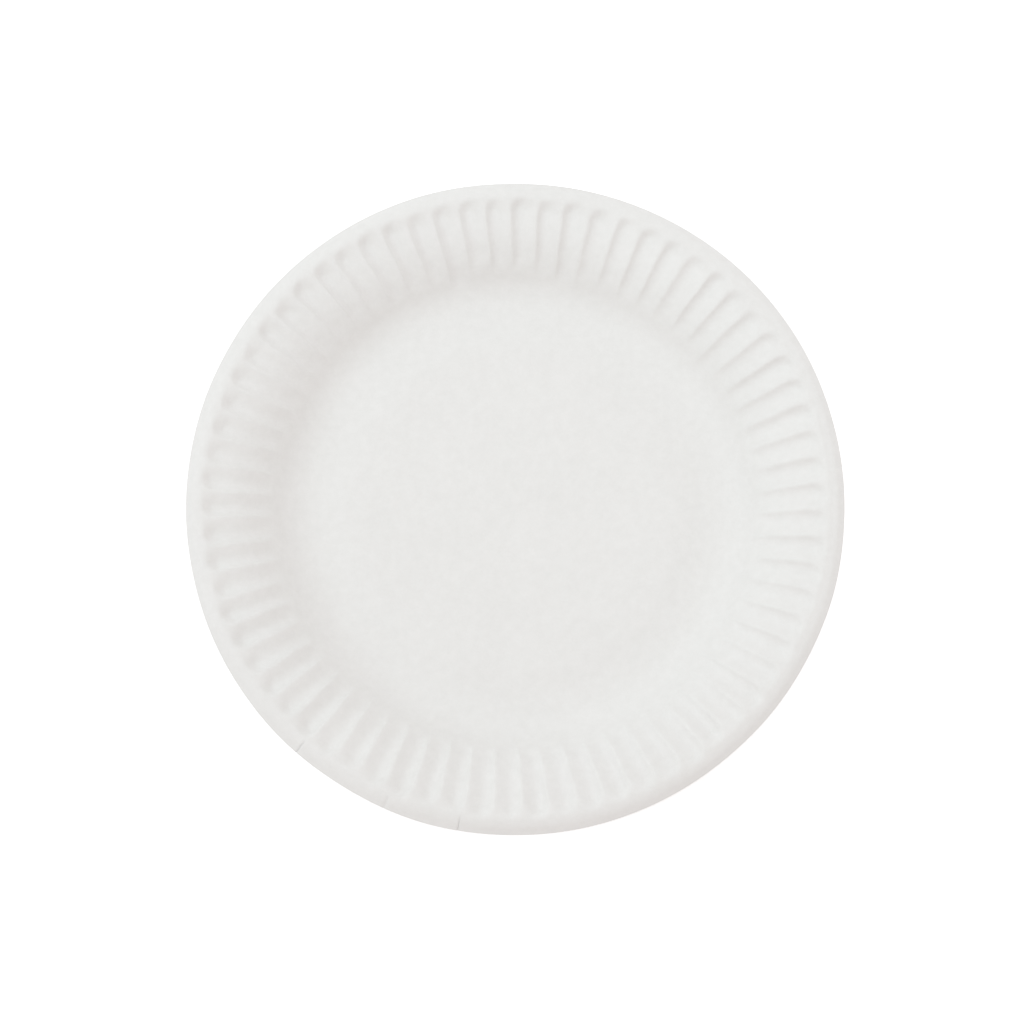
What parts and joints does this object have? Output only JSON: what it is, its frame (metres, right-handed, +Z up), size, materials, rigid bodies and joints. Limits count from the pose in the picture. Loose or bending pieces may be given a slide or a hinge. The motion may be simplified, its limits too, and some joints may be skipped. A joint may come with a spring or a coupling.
{
  "type": "paper plate",
  "caption": "Round disposable paper plate: shallow dish with a smooth wall, a fluted rim and a turned-down lip.",
  "frame": {"origin": "centre of the plate, on the surface that it stands on", "axes": "+Z up along the plate's axis, out of the eating side; +X to the right and +Y away in the picture"},
  "size_m": [0.18, 0.18, 0.0164],
  "materials": {
    "card": "matte white pressed card"
  },
  "bodies": {
    "root": {"plate": "card"}
  },
  "joints": []
}
